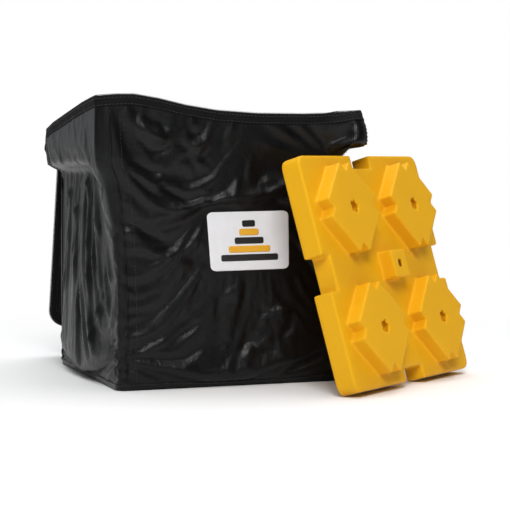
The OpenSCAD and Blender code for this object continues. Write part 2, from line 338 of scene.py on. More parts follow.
def thread():
    """Twisted black sewing thread."""
    p = Paint("thread", (0.03, 0.03, 0.032), 0.5, 0.4)
    p.tint(p.noise(600, 2), (0.02, 0.02, 0.021), (0.05, 0.05, 0.052))
    p.bump(p.bands(900, "DIAGONAL"), 0.0001, 0.6)
    return p.material


def vinyl(name, color):
    """A printed satin label colour."""
    p = Paint(name, color, 0.4, 0.45)
    p.tint(p.noise(45, 5), tuple(0.94 * c for c in color), color)
    p.rough(p.noise(90, 4), 0.34, 0.48)
    p.bump(p.noise(700, 3), 0.00008, 0.35)
    p.bump(p.noise(28, 3), 0.0008, 0.2)
    return p.material


def block_plastic():
    """Moulded yellow polypropylene: satin, faintly mottled, with a fine grain and rubbed spots."""
    p = Paint("block_plastic", (0.80, 0.40, 0.010), 0.45, 0.16)
    p.tint(p.noise(9, 5, 0.6, 0.4), (0.74, 0.375, 0.007), (0.84, 0.435, 0.010))
    p.rough(p.noise(55, 5, 0.65), 0.38, 0.55)
    p.bump(p.noise(16, 3), 0.0010, 0.12)
    p.bump(p.noise(420, 4, 0.6), 0.00012, 0.30)
    rubbed = p.coords("Object", (1, 0.12, 0.3), (0.2, 0.3, 0.6))
    p.bump(p.noise(130, 5, 0.7, 0.0, rubbed), 0.0002, 0.10)
    return p.material


# ---- mesh tools ----

WELD = 0.005 * MM


def finish(piece, body, material, stands_for=()):
    """Puts a piece on its body, with its finish and the CAD nodes it stands for."""
    if material is not None:
        piece.data.materials.append(material)
    if body:
        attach(piece, body)
    if stands_for:
        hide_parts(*stands_for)


def add(name, mesh, body=None, material=None, stands_for=()):
    piece = linked(name, mesh)
    finish(piece, body, material, stands_for)
    return piece


def baked(piece):
    """Applies a piece's modifiers to its mesh."""
    piece.update_tag()
    bpy.context.view_layer.update()
    graph = bpy.context.evaluated_depsgraph_get()
    mesh = bpy.data.meshes.new_from_object(piece.evaluated_get(graph))
    piece.modifiers.clear()
    old = piece.data
    piece.data = mesh
    bpy.data.meshes.remove(old)


def welded(mesh):
    """Joins a mesh's doubled corners and turns its faces outward."""
    bm = bmesh.new()
    bm.from_mesh(mesh)
    bmesh.ops.remove_doubles(bm, verts=bm.verts, dist=WELD)
    bmesh.ops.recalc_face_normals(bm, faces=bm.faces)
    bm.to_mesh(mesh)
    bm.free()
    return mesh


def grid_mesh(name, points, closed=False, uv=None):
    """Quads over rows of points; closed joins the last column to the first."""
    rows, cols = points.shape[:2]
    wrap = cols if closed else cols - 1
    faces = [(r * cols + c, r * cols + (c + 1) % cols,
              (r + 1) * cols + (c + 1) % cols, (r + 1) * cols + c)
             for r in range(rows - 1) for c in range(wrap)]
    mesh = bpy.data.meshes.new(name)
    mesh.from_pydata(points.reshape(-1, 3).tolist(), [], faces)
    if uv is not None:
        layer = mesh.uv_layers.new(name="UVMap")
        flat = uv.reshape(-1, 2)
        index = np.zeros(len(mesh.loops), np.int32)
        mesh.loops.foreach_get("vertex_index", index)
        layer.data.foreach_set("uv", flat[index].ravel().astype(np.float32))
    mesh.update()
    return mesh


# ---- blocks ----

LEAN = math.radians(16.8)
LEAN_TURN = math.radians(35.9)
PAD_AT = 55.8 * MM
PAD_ROOF = 3 * MM
STAR_CUP = 8.5 * MM
CUP_R = 9.4 * MM
CUP_INNER_R = 7.4 * MM
CUP_FLOOR = 2 * MM
CUP_BITE = 0.4 * MM
CUP_PIN = 0.3 * MM
BLOCK_CELL = 0.9 * MM
BLOCK_PASSES = 20
LOOSE_BLOCK_KEPT = 0.30
STACK_BLOCK_KEPT = 0.25
METAL_CELL = 0.16 * MM
METAL_PASSES = 3
METAL_KEPT = 0.2


def lathe(name, profile, middle, sides=40):
    """A closed ring of the profile's (radius, height) corners, turned about a vertical line."""
    turns = np.arange(sides) * 2 * math.pi / sides
    points = np.array([[(middle[0] + r * math.cos(a), middle[1] + r * math.sin(a), z) for r, z in profile]
                       for a in turns])
    points = np.concatenate([points, points[:1]])
    return linked(name, welded(grid_mesh(name, points, closed=True)))


def star_cups(block):
    """The blind cup behind each pad's star hole, which closes it from below."""
    low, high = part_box(block + "_pads")
    center = (low + high) / 2
    roof = high.z - PAD_ROOF
    foot = roof - STAR_CUP
    profile = ((CUP_PIN, foot), (CUP_R, foot), (CUP_R, roof + CUP_BITE), (CUP_INNER_R, roof + CUP_BITE),
               (CUP_INNER_R, foot + CUP_FLOOR), (CUP_PIN, foot + CUP_FLOOR))
    return [lathe("cup", profile, (center.x + sx * PAD_AT, center.y + sy * PAD_AT))
            for sx in (-1, 1) for sy in (-1, 1)]


def softened(name, nodes, cell, passes, keep, extra=()):
    """CAD solids made one piece, its edges rounded as moulding leaves them; keep thins the mesh."""
    parts = []
    for node in nodes:
        mesh = frame["nodes"][node].data.copy()
        mesh.materials.clear()
        parts.append(linked(node + "_part", welded(mesh)))
    parts += extra
    piece = parts[0]
    piece.name = name
    for part in parts[1:]:
        join = piece.modifiers.new("join", "BOOLEAN")
        join.operation = "UNION"
        join.solver = "MANIFOLD"
        join.object = part
    skin = piece.modifiers.new("skin", "REMESH")
    skin.mode = "VOXEL"
    skin.voxel_size = cell
    soft = piece.modifiers.new("soften", "SMOOTH")
    soft.factor = 0.5
    soft.iterations = passes
    piece.modifiers.new("thin", "DECIMATE").ratio = keep
    baked(piece)
    for part in parts[1:]:
        bpy.data.objects.remove(part)
    even_normals(piece)
    return piece


def even_normals(piece):
    """Smooth shading that keeps wide faces flat."""
    piece.data.shade_smooth()
    even = piece.modifiers.new("even", "WEIGHTED_NORMAL")
    even.mode = "FACE_AREA"
    even.weight = 80
    baked(piece)


def thinned(piece, keep):
    """Leaves a piece this share of its triangles."""
    piece.modifiers.new("thin", "DECIMATE").ratio = keep
    baked(piece)
    even_normals(piece)


def leaning_pose():
    """Where a block that lies flat, as block 1 does, goes to lean on the bag."""
    s, c = math.sin(LEAN_TURN), math.cos(LEAN_TURN)
    sl, cl = math.sin(LEAN), math.cos(LEAN)
    turn = Matrix(((c, -s * sl, s * cl, 0), (s, c * sl, -c * cl, 0), (0, cl, sl, 0), (0, 0, 0, 1)))
    flat = [turn @ v.co for v in frame["nodes"][BLOCKS[0] + "_deck"].data.vertices]
    low = Vector([min(spot[k] for spot in flat) for k in range(3)])
    return Matrix.Translation(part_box("block_leaning_deck")[0] - low) @ turn


def copy_of(piece, move):
    mesh = piece.data.copy()
    mesh.transform(move)
    return linked("cast", mesh)


def make_blocks(plastic):
    """The loose block, and nine copies of it with less detail in the stack."""
    first = softened("cast", [f"{BLOCKS[0]}_{kind}" for kind in BLOCK_PARTS], BLOCK_CELL, BLOCK_PASSES,
                     LOOSE_BLOCK_KEPT, star_cups(BLOCKS[0]))
    finish_block(copy_of(first, leaning_pose()), "block_leaning", "leaning", plastic)
    thinned(first, STACK_BLOCK_KEPT)
    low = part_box(BLOCKS[0] + "_deck")[0]
    for block in BLOCKS[1:]:
        move = Matrix.Translation(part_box(block + "_deck")[0] - low)
        finish_block(copy_of(first, move), block, block, plastic)
    finish_block(first, BLOCKS[0], BLOCKS[0], plastic)


def finish_block(piece, block, body, plastic):
    piece.name = block + "_moulded"
    piece.data.materials.clear()
    finish(piece, body, plastic, [f"{block}_{kind}" for kind in BLOCK_PARTS])


# ---- bag ----

COLUMNS = 340
ROWS = 84
WALL = 1.0 * MM
ON_WALL = WALL / 2 + 0.3 * MM
MID_W = HALF_W - CLOTH / 2
MID_D = HALF_D - CLOTH / 2
PLAN_R = 8 * MM
SIDE_WAY = ((0, -1), (1, 0), (0, 1), (-1, 0))
SIDE_OUT = ((-1, 0), (0, -1), (1, 0), (0, 1))

# The collar stands over the stack; its crease is at the height where the stack ends.
COLLAR_Z = 199 * MM
COLLAR_SWELL = 1.2 * MM
COLLAR_SWELL_LEFT = 2.4 * MM
COLLAR_SWELL_LOOSE_BLOCK = 9 * MM
BELLY = 1.4 * MM
FLARE = ((0, 80, 150, 190, 203, 268), (0, 0, 0.25, 0.6, 0.95, 1.0))

# The left side hangs out over its foot; past LEFT_SOFT it gives way, and from WING_AT it is split off as a
# piece of its own.
LEFT_SOFT = -126 * MM
LEFT_GIVE = 5.4 * MM
WING_AT = -108.6 * MM

# Where the rim is pulled to, by corner: 0 back left, 1 front left, 2 front right, 3 back right.
# Each row is the place round the rim, the shift in x and y, and the height, in mm.
RIM = (
    (0.00, -15.5, 0, 239), (0.20, -17, 0, 246), (0.50, -17.5, 0, 254.5), (0.76, -18, 0, 261.6),
    (0.90, -18, 0, 264.6), (1.00, -18, 1, 266.2), (1.06, -16, -1, 267.6), (1.12, -13, -1, 267.9),
    (1.20, -8, -1.5, 264.4), (1.30, -3.5, -1, 258.6), (1.42, 0, -0.5, 254.2), (1.60, 0, 0, 251.9),
    (1.80, 2, -1, 251.8), (1.92, 8, -4, 252.8), (2.00, 14, -6, 255), (2.05, 9, -2, 255),
    (2.10, 0.5, 0, 254.8), (2.14, 0, 0, 254.4), (2.22, 0, 0, 253.6), (2.90, 0, 0, 245.2), (3.00, 0, 0, 244.4),
    (3.20, 0, 0, 244.2), (3.50, 0, 0, 244), (3.75, -6, 0, 243), (3.90, -12, 0, 241), (4.00, -15.5, 0, 239),
)


def rim_at(u):
    """Shift in x and y, and height, of the rim at places round it."""
    table = np.array(RIM)
    return [np.interp(u, table[:, 0], table[:, k]) * MM for k in (1, 2, 3)]


def plan(u):
    """Points and outward directions round the bag's rounded square."""
    spots, outs = [], []
    for place in u:
        k = int(place) % 4
        f = place - int(place)
        way, out = np.array(SIDE_WAY[k]), np.array(SIDE_OUT[k])
        off, half = (MID_W, MID_D) if k % 2 == 0 else (MID_D, MID_W)
        arc = PLAN_R * math.pi / 4
        length = 2 * (half - PLAN_R) + 2 * arc
        s = f * length
        turn = 0.0
        along = min(max(s - arc, 0.0), length - 2 * arc) - (half - PLAN_R)
        if s < arc:
            turn = -math.pi / 4 * (1 - s / arc)
        elif s > length - arc:
            turn = math.pi / 4 * (s - length + arc) / arc
        face = math.cos(turn) * out + math.sin(turn) * way
        spots.append(out * (off - PLAN_R) + way * along + face * PLAN_R)
        outs.append(face)
    return np.array(spots), np.array(outs)


def step(x, low, high):
    """0 below low, 1 above high, and a smooth rise between."""
    t = np.clip((x - low) / (high - low), 0, 1)
    return t * t * (3 - 2 * t)


def bell(x, middle, width):
    return np.exp(-((x - middle) / width) ** 2)


def streak(a, z, start, end, width):
    """A fold's crest along a line on a wall: 1 on the line, less than 0 in the trough beside it."""
    (a0, z0), (a1, z1) = start, end
    length = math.hypot(a1 - a0, z1 - z0)
    ta, tz = (a1 - a0) / length, (z1 - z0) / length
    t = ((a - a0) * ta + (z - z0) * tz) / length
    d = (-(a - a0) * tz + (z - z0) * ta) / width
    ends = step(t, -0.12, 0.2) * (1 - step(t, 0.75, 1.12))
    return ends * (np.exp(-d ** 2) - 0.45 * np.exp(-((d - 1.9) / 1.1) ** 2))


# Folds that stand out, by side: start and end (along the side, height), width and depth in mm.
FOLDS = {
    0: (((70, 20), (95, 130), 5, 2.6), ((40, 12), (62, 118), 4, 2.4), ((-6, 4), (10, 92), 4, 2.6),
        ((-40, 20), (-8, 84), 4, 2.2), ((-62, 6), (-34, 74), 4, 2.4), ((18, 92), (28, 186), 4, 2.6),
        ((-30, 84), (-16, 176), 4, 2.8), ((58, 104), (60, 196), 4, 2.2), ((88, 34), (80, 196), 3, 1.8),
        ((-84, 66), (-50, 150), 5, 2.4), ((-58, 140), (0, 198), 6, 4.0), ((-90, 96), (-60, 150), 6, 3.0),
        ((-20, 196), (40, 150), 4, 1.8), ((0, 110), (-20, 20), 3, 1.6), ((74, 160), (40, 198), 4, 2.0)),
    1: (((-100, 201), (-3, 175), 4, 2.6), ((-95, 136), (-44, 113), 5, 2.6), ((-82, 41), (-34, 53), 4, 1.8),
        ((-60, 128), (-20, 152), 6, 2.0), ((-106, 150), (-70, 132), 4, 2.0), ((-50, 168), (20, 178), 5, 1.8),
        ((0, 196), (88, 184), 5, 2.6), ((20, 222), (100, 214), 6, 2.4), ((-90, 236), (-30, 224), 5, 3.2),
        ((-60, 214), (10, 236), 6, 3.0), ((-96, 250), (-62, 228), 5, 2.8), ((10, 96), (-30, 72), 5, 1.6),
        ((-70, 88), (-20, 92), 5, 1.6), ((30, 190), (86, 150), 4, 1.8), ((-20, 40), (40, 28), 4, 1.4)),
    2: (((-70, 60), (-40, 160), 5, 2.0), ((10, 30), (30, 150), 5, 1.8), ((60, 90), (40, 200), 5, 1.8)),
    3: (((-60, 200), (20, 160), 5, 2.0), ((-20, 90), (40, 120), 5, 1.8), ((-80, 40), (-20, 60), 5, 1.6)),
}
LOOSE_FOLDS = {0: (44, 70), 1: (46, 8), 2: (36, 60), 3: (36, 30)}

# The puckers beside the front left seam, as the seam's place along the front, and their heights.
PUCKER_X = -106
PUCKER_FOOT = 16
PUCKER_STEP = 13
PUCKERS = 17

# How the cloth settles round the stack.
STACK_HALF = 108.3 * MM
STACK_TALL = (-50 * MM, 262 * MM)
STACK_GAP = 0.8 * MM
SETTLE_FRAMES = 24
SLACK = 0.022
NYLON_SETTINGS = {
    "vertex_group_mass": "pins", "quality": 5, "mass": 0.08, "air_damping": 2, "pin_stiffness": 2,
    "tension_stiffness": 20, "compression_stiffness": 12, "shear_stiffness": 6, "bending_stiffness": 0.25,
    "tension_damping": 12, "compression_damping": 12, "shear_damping": 8,
    "shrink_min": -SLACK, "shrink_max": -SLACK,
}
LEAN_GAP = 1.4 * MM
LEAN_GAP_SETTLED = 1.3 * MM

SEAMS = (0.03, 1.035, 1.97, 2.97)
PIPING_R = 0.9 * MM
HEM_LEVELS = (0.4, 1.6, 3.2, 4.8, 5.6)

ZIP_END_Y = 102 * MM
TAPE_W = 10 * MM
TAPE_DROPS = (0, 1.5, 3.5, 5.5, 7.5, 9.2, 10)
TAPE_SEAMS = (8.6 * MM, 2.6 * MM)
COIL_DROP = 1.0 * MM
COIL_RISE = 0.5 * MM
COIL_PITCH = 1.6 * MM
COIL_WIDE = 0.72 * MM
COIL_HIGH = 0.62 * MM
COIL_WIRE = 0.3 * MM
COIL_STEPS = 7

LABEL_CORNERS = np.array(((-24, 106.5), (52.5, 107.5), (52, 161.5), (-28, 160.5))) * MM
LABEL_SIZE = (78.2 * MM, 54 * MM)
LABEL_HALO = 12 * MM
LABEL_ROUND = 5 * MM
LABEL_FOOT = 0.16
LABEL_STEP = 0.145
LABEL_BAR = 0.112
LABEL_BARS = ((0.14, 0.86), (0.24, 0.76), (0.32, 0.68), (0.38, 0.62), (0.42, 0.58))


def cloth_folds(side, a, z):
    """How far the folds of one side stand out, in metres; a runs along the side and z up."""
    out = np.zeros_like(a)
    am, zm = a / MM, z / MM
    for start, end, width, depth in FOLDS[side]:
        out += depth * MM * streak(am, zm, start, end, width)
    if side == 1:
        for k in range(PUCKERS):
            low = PUCKER_FOOT + PUCKER_STEP * k
            end = (PUCKER_X + 18 + 5 * (k % 3), low + 3 - 3 * (k % 2))
            out += 0.7 * MM * streak(am, zm, (PUCKER_X, low), end, 2.4)
    rng = np.random.default_rng(40 + side)
    count, lean = LOOSE_FOLDS[side]
    for _ in range(count):
        middle = rng.uniform((-100, 12), (100, 236))
        angle = math.radians(rng.normal(lean, 26))
        half = rng.uniform(12, 42)
        reach = half * np.array([math.cos(angle), math.sin(angle)])
        width = rng.uniform(2.2, 5.0)
        depth = rng.uniform(0.5, 1.5)
        out += depth * MM * streak(am, zm, middle - reach, middle + reach, width)
    return out


def label_zone(x, z):
    """1 behind the label, falling to 0 a little outside it."""
    low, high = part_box("label_patch")
    return (step(x, low.x - LABEL_HALO, low.x) * (1 - step(x, high.x, high.x + LABEL_HALO))
            * step(z, low.z - LABEL_HALO, low.z) * (1 - step(z, high.z, high.z + LABEL_HALO)))


def rim_pull(u, z, height, t):
    """The share of the rim's shift taken: at once at the collar's crease, slowly at the front left corner."""
    if t == 1:
        return np.ones(COLUMNS)
    at_corner = bell(u, 1.0, 0.16)
    sharp = 0.86 * step(height, -0.04, 0.14) + 0.14 * np.clip(height, 0, 1)
    return at_corner * np.interp(z / MM, *FLARE) + (1 - at_corner) * sharp


def wall_swell(u, z, height):
    """How far the collar swells out over its crease, and the wall below it."""
    f = u - u.astype(int)
    by_loose_block = bell(u, 2.0, 0.10)
    swell = np.sin(np.clip(height, 0, 1) * math.pi)
    left = (u < 1.0) * step(f, 0.05, 0.2)
    out = (COLLAR_SWELL + COLLAR_SWELL_LEFT * left) * swell * (1 - by_loose_block) * (u.astype(int) != 2)
    belly = BELLY * np.sin(np.clip(z / COLLAR_Z, 0, 1) * math.pi) * np.sin(f * math.pi)
    return out + COLLAR_SWELL_LOOSE_BLOCK * by_loose_block * swell + belly


def fold_push(u, z, t):
    """How far the folds stand out round one row, less at the corners, foot, rim and label."""
    f = u - u.astype(int)
    corner = step(f, 0.0, 0.05) * (1 - step(f, 0.95, 1.0))
    edge = step(t, 0.0, 0.03) * (1 - step(t, 0.93, 0.985))
    push = np.zeros(COLUMNS)
    for side in range(4):
        mine = u.astype(int) == side
        a = (2 * f[mine] - 1) * (MID_D if side % 2 == 0 else MID_W)
        if side in (0, 3):
            a = -a
        push[mine] = cloth_folds(side, a, z[mine]) * edge * (0.35 + 0.65 * corner[mine])
        if side == 1:
            push[mine] *= 1 - 0.9 * label_zone(a, z[mine])
    return push


def shell_points():
    """The slack bag's wall, row by row from the floor up, before it settles."""
    u = np.arange(COLUMNS) * 4 / COLUMNS
    spots, outs = plan(u)
    dx, dy, top = rim_at(u)
    shift = np.stack([dx, dy], axis=1)
    points = np.zeros((ROWS, COLUMNS, 3))
    for r in range(ROWS):
        t = r / (ROWS - 1)
        z = CLOTH * 0.5 + t * (top - COIL_DROP - CLOTH * 0.5)
        height = (z - COLLAR_Z) / (top - COLLAR_Z)
        pulled = shift * rim_pull(u, z, height, t)[:, None]
        swollen = outs * wall_swell(u, z, height)[:, None]
        points[r, :, :2] = spots + pulled + swollen + outs * fold_push(u, z, t)[:, None]
        points[r, :, 2] = z
    return points, u


def leaning_plane():
    """The leaning block's back plane, as its outward direction and its distance from the origin."""
    away = Vector(JOINTS["leaning_block_away"]["axis"])
    deck = frame["nodes"]["block_leaning_deck"].data
    face = max(deck.polygons, key=lambda p: p.area)
    normal = face.normal.copy()
    if normal.dot(away) < 0:
        normal.negate()
    spots = [normal.dot(v.co) for kind in BLOCK_PARTS
             for v in frame["nodes"][f"block_leaning_{kind}"].data.vertices]
    return normal, min(spots)


def keep_clear(points, gap):
    """Pushes the cloth back behind the leaning block, this far from its back plane."""
    normal, start = leaning_plane()
    level = np.linalg.norm((normal.x, normal.y))
    tip = max(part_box(f"block_leaning_{kind}")[1].z for kind in BLOCK_PARTS)
    over = points @ np.array(normal) - start + gap
    hide = 1 - step(points[..., 2], tip + 0.5 * MM, tip + 9 * MM)
    push = np.clip(over, 0, None) / level * hide
    points[..., 0] -= normal.x / level * push
    points[..., 1] -= normal.y / level * push
    return points


def box_mesh(low, high):
    """A plain box between two corners."""
    bm = bmesh.new()
    bmesh.ops.create_cube(bm, size=1)
    size, middle = Vector(high) - Vector(low), (Vector(high) + Vector(low)) / 2
    bmesh.ops.transform(bm, verts=bm.verts, matrix=Matrix.Translation(middle) @ Matrix.Diagonal((*size, 1)))
    mesh = bpy.data.meshes.new("collider")
    bm.to_mesh(mesh)
    bm.free()
    return mesh


def collider(mesh, gap):
    """A body that cloth settles against."""
    body = linked("collider", mesh)
    body.modifiers.new("collision", "COLLISION")
    body.collision.thickness_outer = gap
    body.collision.cloth_friction = 8
    return body


def settle(piece, pins, colliders):
    """Lets a slack cloth settle under its weight, held the more firmly the nearer pins is to 1."""
    group = piece.vertex_groups.new(name="pins")
    for weight in sorted(set(np.round(pins, 2))):
        if weight > 0:
            group.add(np.flatnonzero(np.round(pins, 2) == weight).tolist(), float(weight), "REPLACE")
    cloth = piece.modifiers.new("cloth", "CLOTH")
    for setting, value in NYLON_SETTINGS.items():
        setattr(cloth.settings, setting, value)
    cloth.collision_settings.use_collision = True
    cloth.collision_settings.distance_min = STACK_GAP
    cloth.collision_settings.use_self_collision = False
    cloth.point_cache.frame_start = 1
    cloth.point_cache.frame_end = SETTLE_FRAMES
    for k in range(1, SETTLE_FRAMES + 1):
        SCENE.frame_set(k)
    baked(piece)
    SCENE.frame_set(1)
    piece.vertex_groups.clear()
    for body in colliders:
        bpy.data.objects.remove(body)


def coords(mesh):
    """A mesh's points as rows of x, y, z."""
    out = np.zeros(len(mesh.vertices) * 3)
    mesh.vertices.foreach_get("co", out)
    return out.reshape(-1, 3)


def shell_pins(points, u):
    """How firmly the shell is held as it settles: at rim, foot, label, front left corner and crease."""
    t = np.linspace(0, 1, ROWS)[:, None]
    front = (u >= 1) & (u < 2)
    crease = bell(points[..., 2], COLLAR_Z + 5 * MM, 11 * MM)
    pins = np.maximum((t > 0.985) * 1.0, (t < 0.02) * 1.0) + np.zeros((1, COLUMNS))
    for held in (0.6 * (label_zone(points[..., 0], points[..., 2]) * front > 0.5),
                 0.2 * (bell(u, 1.0, 0.03) > 0.5),
                 0.7 * crease * (u < 0.8),
                 0.7 * crease * (u > 3.85),
                 0.12 * (crease > 0.6) * (u > 1.1) * (u < 1.9)):
        pins = np.maximum(pins, held)
    return pins


def trimmed(wall, u):
    """The settled wall, clear of the loose block, drawn in on the left, straight where the slider runs."""
    wall = keep_clear(wall, LEAN_GAP_SETTLED)
    under_rim = wall[-1:, :, 2] - wall[..., 2]
    over = np.clip(LEFT_SOFT - wall[..., 0], 0, None)
    wall[..., 0] += over - LEFT_GIVE * np.tanh(over / LEFT_GIVE)
    straight = (1 - step(under_rim, 9 * MM, 20 * MM)) * step(u, 2.10, 2.14) * (1 - step(u, 2.93, 2.97))
    wall[..., 0] += straight * (MID_W - wall[..., 0])
    return wall


def make_shell():
    """The bag's walls as one slack skin; returns it with its settled rows of points."""
    points, u = shell_points()
    points = keep_clear(points, LEAN_GAP)
    lengths = np.linalg.norm(np.diff(points[0], axis=0, append=points[0][:1]), axis=1)
    across = np.concatenate([[0], np.cumsum(lengths)[:-1]])
    uv = np.stack([np.broadcast_to(across, (ROWS, COLUMNS)), points[..., 2]], axis=-1)
    piece = linked("bag_shell", grid_mesh("bag_shell", points, closed=True, uv=uv))
    post = box_mesh((-STACK_HALF, -STACK_HALF, STACK_TALL[0]), (STACK_HALF, STACK_HALF, STACK_TALL[1]))
    settle(piece, shell_pins(points, u).ravel(), [collider(post, STACK_GAP)])
    settled = trimmed(coords(piece.data).reshape(ROWS, COLUMNS, 3), u)
    piece.data.vertices.foreach_set("co", settled.ravel())
    piece.data.update()
    return piece, settled, u


def thicken(piece, thickness, inside=0):
    """Gives a sheet its thickness, half to each side; inside is its other face's material."""
    solid = piece.modifiers.new("thickness", "SOLIDIFY")
    solid.thickness = thickness
    solid.offset = 0
    solid.use_even_offset = False
    solid.material_offset = inside
    baked(piece)
    piece.data.shade_smooth()


def wall_outs(wall):
    """Outward directions of the bag's wall."""
    along = np.roll(wall, -1, axis=1) - np.roll(wall, 1, axis=1)
    outs = np.cross(along, np.gradient(wall, axis=0))
    return outs / np.linalg.norm(outs, axis=2)[..., None]


def run_of(line):
    """The distance of each of a line's points from its start."""
    return np.concatenate([[0], np.cumsum(np.linalg.norm(np.diff(line, axis=0), axis=1))])


def pick(line, run, spots):
    """Points (or directions) of a line at distances along it."""
    return np.stack([np.interp(spots, run, line[:, k]) for k in range(3)], axis=-1)


def down_wall(wall, outs, columns, drops, lift):
    """Points over the outside of the wall, at distances down from the rim, with their directions."""
    spots = np.zeros((len(drops), len(columns), 3))
    ways = np.zeros_like(spots)
    for j, c in enumerate(columns):
        run = run_of(wall[::-1, c])
        spots[:, j] = pick(wall[::-1, c], run, drops)
        ways[:, j] = pick(outs[::-1, c], run, drops)
    ways /= np.linalg.norm(ways, axis=2)[..., None]
    return spots + ways * lift, ways


def strands(name, lines, radius, material, body=None, slot=None, stands_for=(), sides=5):
    """Round strands along lines of points, as one piece, closed at their ends."""
    verts, faces = [], []
    angles = np.arange(sides) * 2 * math.pi / sides
    for line in lines:
        line = np.asarray(line, float)
        way = np.gradient(line, axis=0)
        way /= np.linalg.norm(way, axis=1)[:, None]
        side = np.cross(way[0], (0.0, 0.0, 1.0))
        if np.linalg.norm(side) < 0.1:
            side = np.cross(way[0], (1.0, 0.0, 0.0))
        base = len(verts)
        last = len(line) - 1
        for k, (spot, ahead) in enumerate(zip(line, way)):
            side = side - ahead * side.dot(ahead)
            side /= np.linalg.norm(side)
            up = np.cross(ahead, side)
            size = radius * (0.4 if k in (0, last) else 1)
            verts.extend(spot + size * (math.cos(a) * side + math.sin(a) * up) for a in angles)
            if k:
                low = base + (k - 1) * sides
                faces.extend((low + i, low + (i + 1) % sides, low + sides + (i + 1) % sides, low + sides + i)
                             for i in range(sides))
        faces.append(tuple(base + i for i in reversed(range(sides))))
        faces.append(tuple(base + last * sides + i for i in range(sides)))
    mesh = bpy.data.meshes.new(name)
    mesh.from_pydata([tuple(v) for v in verts], [], faces)
    mesh.shade_smooth()
    return add(name, mesh, body, material, stands_for)


def stitches(line, outs, length=2.6 * MM, gap=1.0 * MM, lift=0.35 * MM):
    """Short stitches end to end along a line, each dipping into the cloth at its ends."""
    run = run_of(line)
    made = []
    for start in np.arange(0, run[-1] - length, length + gap):
        spots = start + length * np.array((0, 0.2, 0.5, 0.8, 1))
        rise = lift * np.array((-0.9, 0.5, 1, 0.5, -0.9))
        made.append(pick(line, run, spots) + pick(outs, run, spots) * rise[:, None])
    return made


def coil(name, line, outs, *details):
    """A zip coil's wire, wound round a line; details are those that strands takes."""
    run = run_of(line)
    at = np.linspace(0, run[-1], int(run[-1] / COIL_PITCH) * COIL_STEPS)
    turn = at / COIL_PITCH * 2 * math.pi
    out = pick(outs, run, at)
    out /= np.linalg.norm(out, axis=1)[:, None]
    ahead = np.gradient(pick(line, run, at), axis=0)
    up = np.cross(out, ahead)
    up /= np.linalg.norm(up, axis=1)[:, None]
    wound = pick(line, run, at) + out * (COIL_WIDE * np.cos(turn))[:, None]
    return strands(name, [wound + up * (COIL_HIGH * np.sin(turn))[:, None]], COIL_WIRE, *details, sides=4)


def part_off_wing(piece):
    """Takes the bag's left side off a piece, as a second piece with the same shading."""
    mesh = piece.data
    normals = [tuple(n.vector) for n in mesh.vertex_normals]
    spots = coords(mesh)
    over = spots[:, 0] < WING_AT
    in_wing = [bool(over[list(p.vertices)].any()) for p in mesh.polygons]
    wing = linked(piece.name + "_wing", mesh.copy())
    for target, kept in ((piece, False), (wing, True)):
        bm = bmesh.new()
        bm.from_mesh(target.data)
        first = bm.verts.layers.int.new("first")
        for v in bm.verts:
            v[first] = v.index
        bm.faces.ensure_lookup_table()
        bmesh.ops.delete(bm, geom=[f for f in bm.faces if in_wing[f.index] != kept], context="FACES")
        origin = [v[first] for v in bm.verts]
        bm.verts.layers.int.remove(first)
        bm.to_mesh(target.data)
        bm.free()
        target.data.normals_split_custom_set_from_vertices([normals[k] for k in origin])
    return wing


def finish_bag_piece(piece, stands_for=()):
    """Puts a piece on the bag, with its left side, which hangs out over its foot, split off as a second
    piece.
    """
    wing = part_off_wing(piece)
    for part in (piece, wing):
        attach(part, "bag")
    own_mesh(wing)
    if stands_for:
        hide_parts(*stands_for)


def dress_shell(piece, cloth, inner):
    """The walls' cloth outside and lining inside."""
    piece.data.materials.append(cloth)
    piece.data.materials.append(inner)
    thicken(piece, WALL, 1)
    walls = [f"{side}_panel" for side in ("front", "back", "left", "right")]
    corners = [f"corner_seam_{a}_{b}" for a in ("front", "back") for b in ("left", "right")]
    finish_bag_piece(piece, walls + corners)


def ribbon(name, points, thickness, material, body=None, stands_for=()):
    """A strip of cloth or webbing over a grid of points."""
    across, down = run_of(points[len(points) // 2]), run_of(points[:, points.shape[1] // 2])
    uv = np.stack(np.meshgrid(across, down), axis=-1)
    piece = add(name, grid_mesh(name, points, uv=uv), body, material, stands_for)
    thicken(piece, thickness)
    return piece


def dress_rim(wall, u, tape, wire, cord):
    """The zip's tape, coil and stitching round the left, front and right of the rim."""
    outs = wall_outs(wall)
    columns = [c for c in range(COLUMNS) if u[c] < 3 and wall[-1, c, 1] < ZIP_END_Y]
    points, _ = down_wall(wall, outs, columns, np.array(TAPE_DROPS) * MM, ON_WALL)
    finish_bag_piece(ribbon("bag_zip_tape", points, 0.55 * MM, tape), ["zip_tape_bag"])
    rim, ways = down_wall(wall, outs, columns, np.array([0.2 * MM]), 0)
    teeth = coil("bag_zip_coil", rim[0] + (0, 0, COIL_RISE), ways[0], wire)
    finish_bag_piece(teeth, ["zip_teeth_bag"])
    made = []
    for drop in TAPE_SEAMS:
        seam, ways = down_wall(wall, outs, columns, np.array([drop]), WALL / 2 + 0.55 * MM)
        made += stitches(seam[0], ways[0])
    finish_bag_piece(strands("rim_stitching", made, 0.22 * MM, cord))


